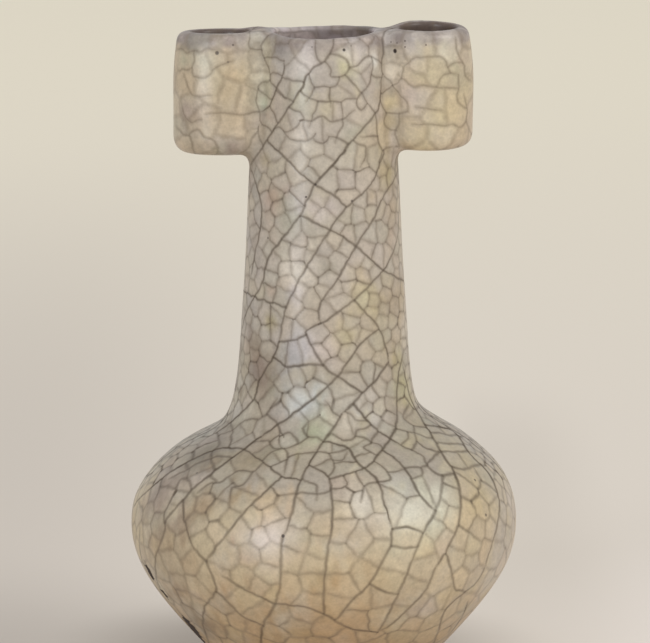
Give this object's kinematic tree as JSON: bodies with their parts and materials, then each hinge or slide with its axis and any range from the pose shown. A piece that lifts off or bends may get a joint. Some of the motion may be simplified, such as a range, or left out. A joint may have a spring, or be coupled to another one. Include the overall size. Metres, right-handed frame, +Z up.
{
  "type": "tubular-lugged bottle vase",
  "caption": "Crackle-glazed stoneware vase with a low round belly, a long tapering neck and an open tube lug on each side level with the mouth.",
  "frame": {"origin": "centre of the foot ring's underside, on the surface that the vase stands on", "axes": "+Z up along the neck, +X through the right lug as the picture shows it, -Y towards the viewer"},
  "size_m": [0.085, 0.085, 0.1476],
  "materials": {
    "crackle_glaze": "satin crackle glaze, grey-beige with dark grey-brown crack lines",
    "bare_clay": "matte unglazed dark brown stoneware"
  },
  "bodies": {
    "root": {"foot_ring": "bare_clay", "lower_body": "crackle_glaze", "upper_body": "crackle_glaze", "neck": "crackle_glaze", "left_lug": "crackle_glaze", "right_lug": "crackle_glaze"}
  },
  "joints": []
}
